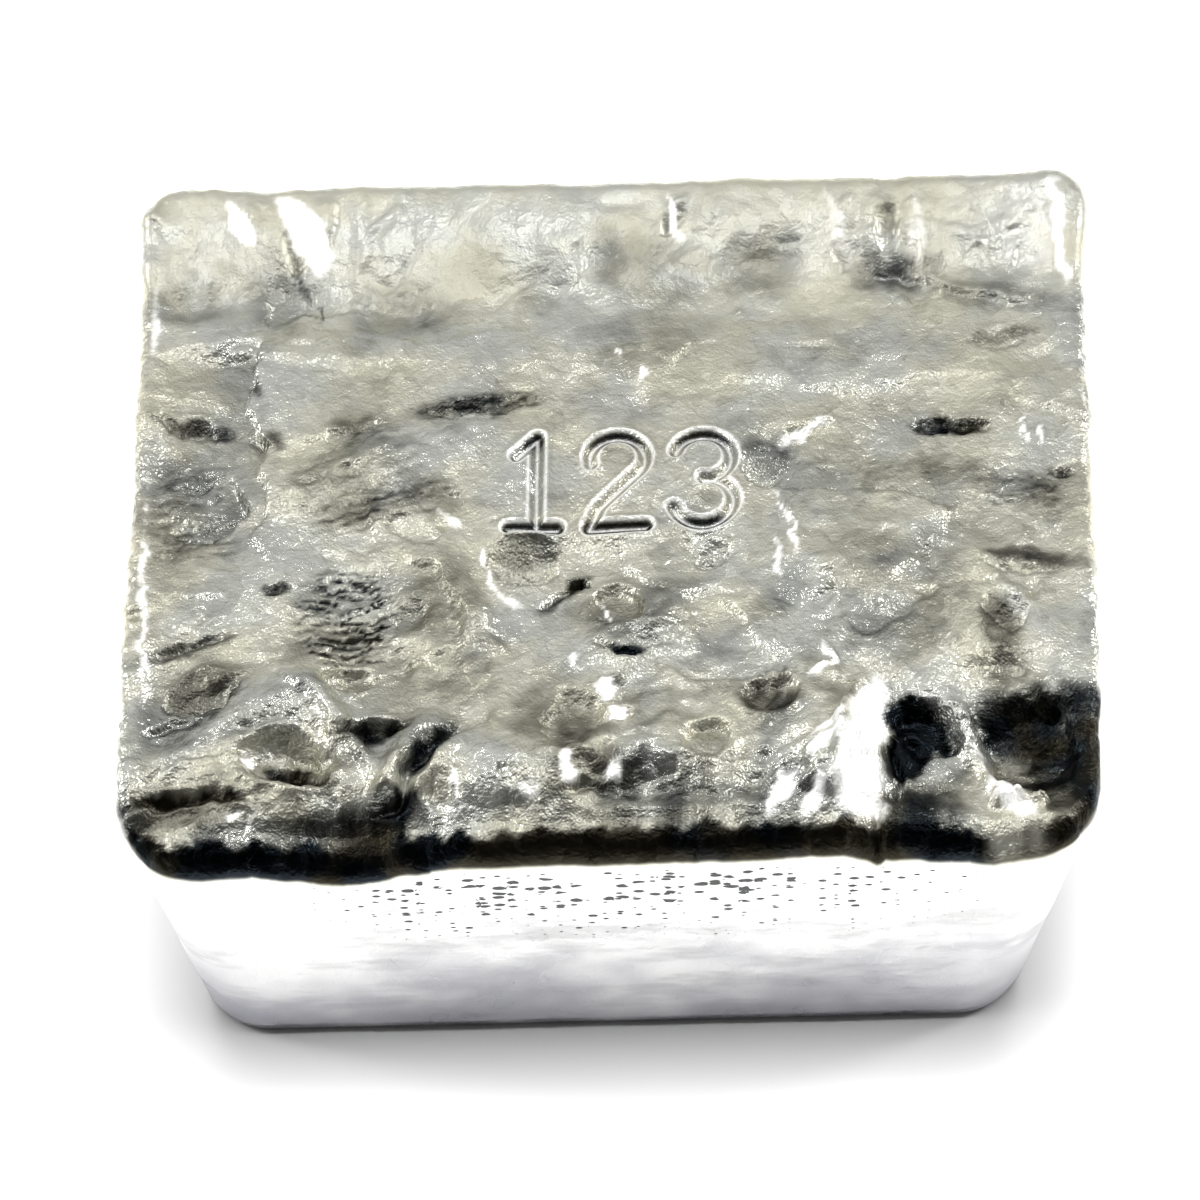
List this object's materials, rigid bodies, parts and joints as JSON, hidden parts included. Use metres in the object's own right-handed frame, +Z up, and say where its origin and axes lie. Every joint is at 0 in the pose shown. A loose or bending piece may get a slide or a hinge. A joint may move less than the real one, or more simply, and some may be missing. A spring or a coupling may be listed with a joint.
{
  "type": "metal ingot",
  "caption": "Small rectangular ingot of white metal cast in an open tapered mould, with a rough wavy pour face and punched figures.",
  "frame": {"origin": "centre of the foot's bounding rectangle, on the face it rests on", "axes": "+X along the width of the pour face, the way its figures read; +Y from the front lip to the back bank; +Z up, out of the mould"},
  "size_m": [0.0624, 0.0528, 0.028],
  "materials": {
    "cast_metal": "satin"
  },
  "bodies": {
    "root": {"ingot": "cast_metal"}
  },
  "joints": []
}
